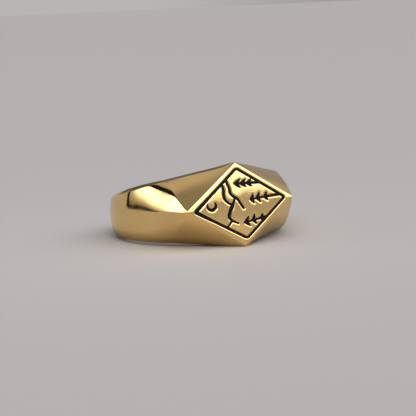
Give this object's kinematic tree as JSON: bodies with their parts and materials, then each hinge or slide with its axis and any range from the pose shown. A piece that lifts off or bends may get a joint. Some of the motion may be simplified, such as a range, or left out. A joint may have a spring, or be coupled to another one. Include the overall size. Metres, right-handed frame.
{
  "type": "signet ring",
  "caption": "Finger ring with a flat rhombus face, ridged shoulders that taper to a narrow band, and a black-filled engraving of a moon, a stream and pines.",
  "frame": {"origin": "centre of the finger bore, halfway along it", "axes": "+Z along the finger bore, -Y out of the face, +X along the face's long diagonal, to the right when the face is looked at"},
  "size_m": [0.0214, 0.0237, 0.0098],
  "materials": {
    "polished_gold": "mirror-polished yellow gold with fine wear scratches",
    "black_fill": "satin black fill, slightly below the metal"
  },
  "bodies": {
    "root": {"ring_body": "polished_gold", "frame_line_fill": "black_fill", "moon_fill": "black_fill", "stream_left_fill": "black_fill", "stream_right_fill": "black_fill", "cliff_line_fill": "black_fill", "foot_line_fill": "black_fill", "pine_top_fill": "black_fill", "pine_middle_fill": "black_fill", "pine_bottom_fill": "black_fill"}
  },
  "joints": []
}
